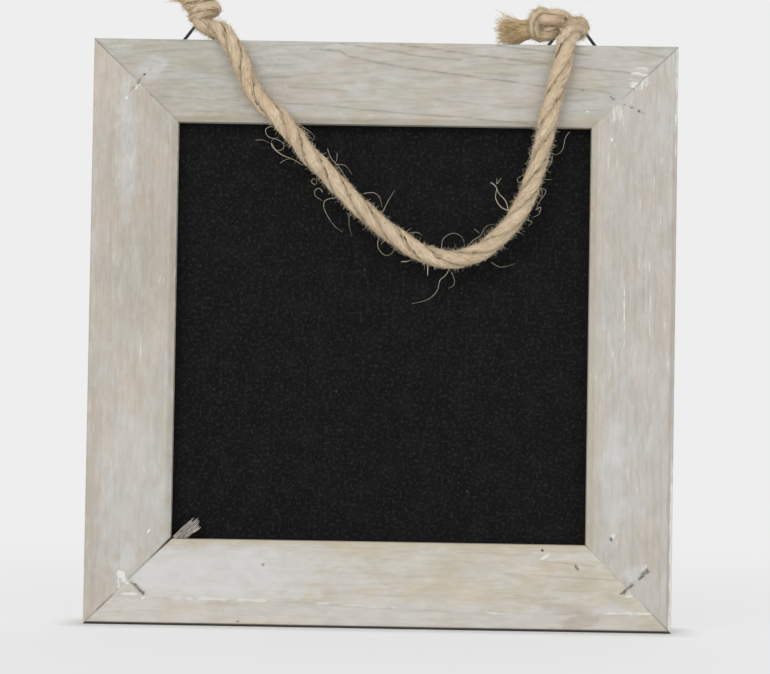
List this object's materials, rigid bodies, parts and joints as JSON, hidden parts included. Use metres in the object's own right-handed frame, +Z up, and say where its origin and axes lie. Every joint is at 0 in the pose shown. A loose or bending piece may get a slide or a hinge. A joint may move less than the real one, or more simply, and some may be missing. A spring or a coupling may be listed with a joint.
{
  "type": "hanging chalkboard",
  "caption": "Small square chalkboard in a mitred softwood frame, hung by a rope between two wire rings behind its top rail.",
  "frame": {"origin": "underside of the bottom rail, in the middle of its length and of the frame's depth", "axes": "+Z up along the board's height, -Y out of the black front, +X to the right seen from the front"},
  "size_m": [0.2, 0.0301, 0.2243],
  "materials": {
    "whitewashed_wood": "sawn softwood with a thin rubbed white wash",
    "chalk_surface": "black chalk paint on hardboard, matt and finely grained",
    "staple_steel": "dull staple wire",
    "point_steel": "plain sheet steel",
    "black_wire": "black lacquered wire",
    "strap_steel": "black lacquered sheet steel",
    "screw_steel": "zinc-plated steel",
    "jute": "natural three-strand jute, hairy"
  },
  "bodies": {
    "frame": {"bottom_rail": "whitewashed_wood", "top_rail": "whitewashed_wood", "left_stile": "whitewashed_wood", "right_stile": "whitewashed_wood", "chalkboard_panel": "chalk_surface", "staple_top_left": "staple_steel", "staple_top_right": "staple_steel", "staple_bottom_left": "staple_steel", "staple_bottom_right": "staple_steel", "panel_point_bottom_left": "point_steel", "panel_point_bottom_right": "point_steel", "panel_point_top_left": "point_steel", "panel_point_top_right": "point_steel", "panel_point_left_upper": "point_steel", "panel_point_left_lower": "point_steel", "panel_point_right_upper": "point_steel", "panel_point_right_lower": "point_steel", "left_hanger_strap": "strap_steel", "right_hanger_strap": "strap_steel", "left_hanger_screw": "screw_steel", "right_hanger_screw": "screw_steel"},
    "left_ring": {"left_hanger_ring": "black_wire"},
    "right_ring": {"right_hanger_ring": "black_wire"},
    "rope": {"rope_span": "jute", "left_knot": "jute", "right_knot": "jute", "left_tail": "jute", "right_tail": "jute"}
  },
  "joints": [
    {"name": "left_ring_swing", "type": "hinge", "parent": "frame", "child": "left_ring", "pos_m": [-0.0625, 0.00925, 0.1965], "axis": [-1, 0, 0], "range_deg": [0, 90]},
    {"name": "right_ring_swing", "type": "hinge", "parent": "frame", "child": "right_ring", "pos_m": [0.0645, 0.00925, 0.1965], "axis": [-1, 0, 0], "range_deg": [0, 90]},
    {"name": "rope_lift", "type": "hinge", "parent": "left_ring", "child": "rope", "pos_m": [-0.0625, 0.00925, 0.20885], "axis": [-1, 0, 0], "range_deg": [0, 165]}
  ],
  "couplings": [
    {"joint": "right_ring_swing", "follows": "left_ring_swing", "ratio": 1}
  ]
}
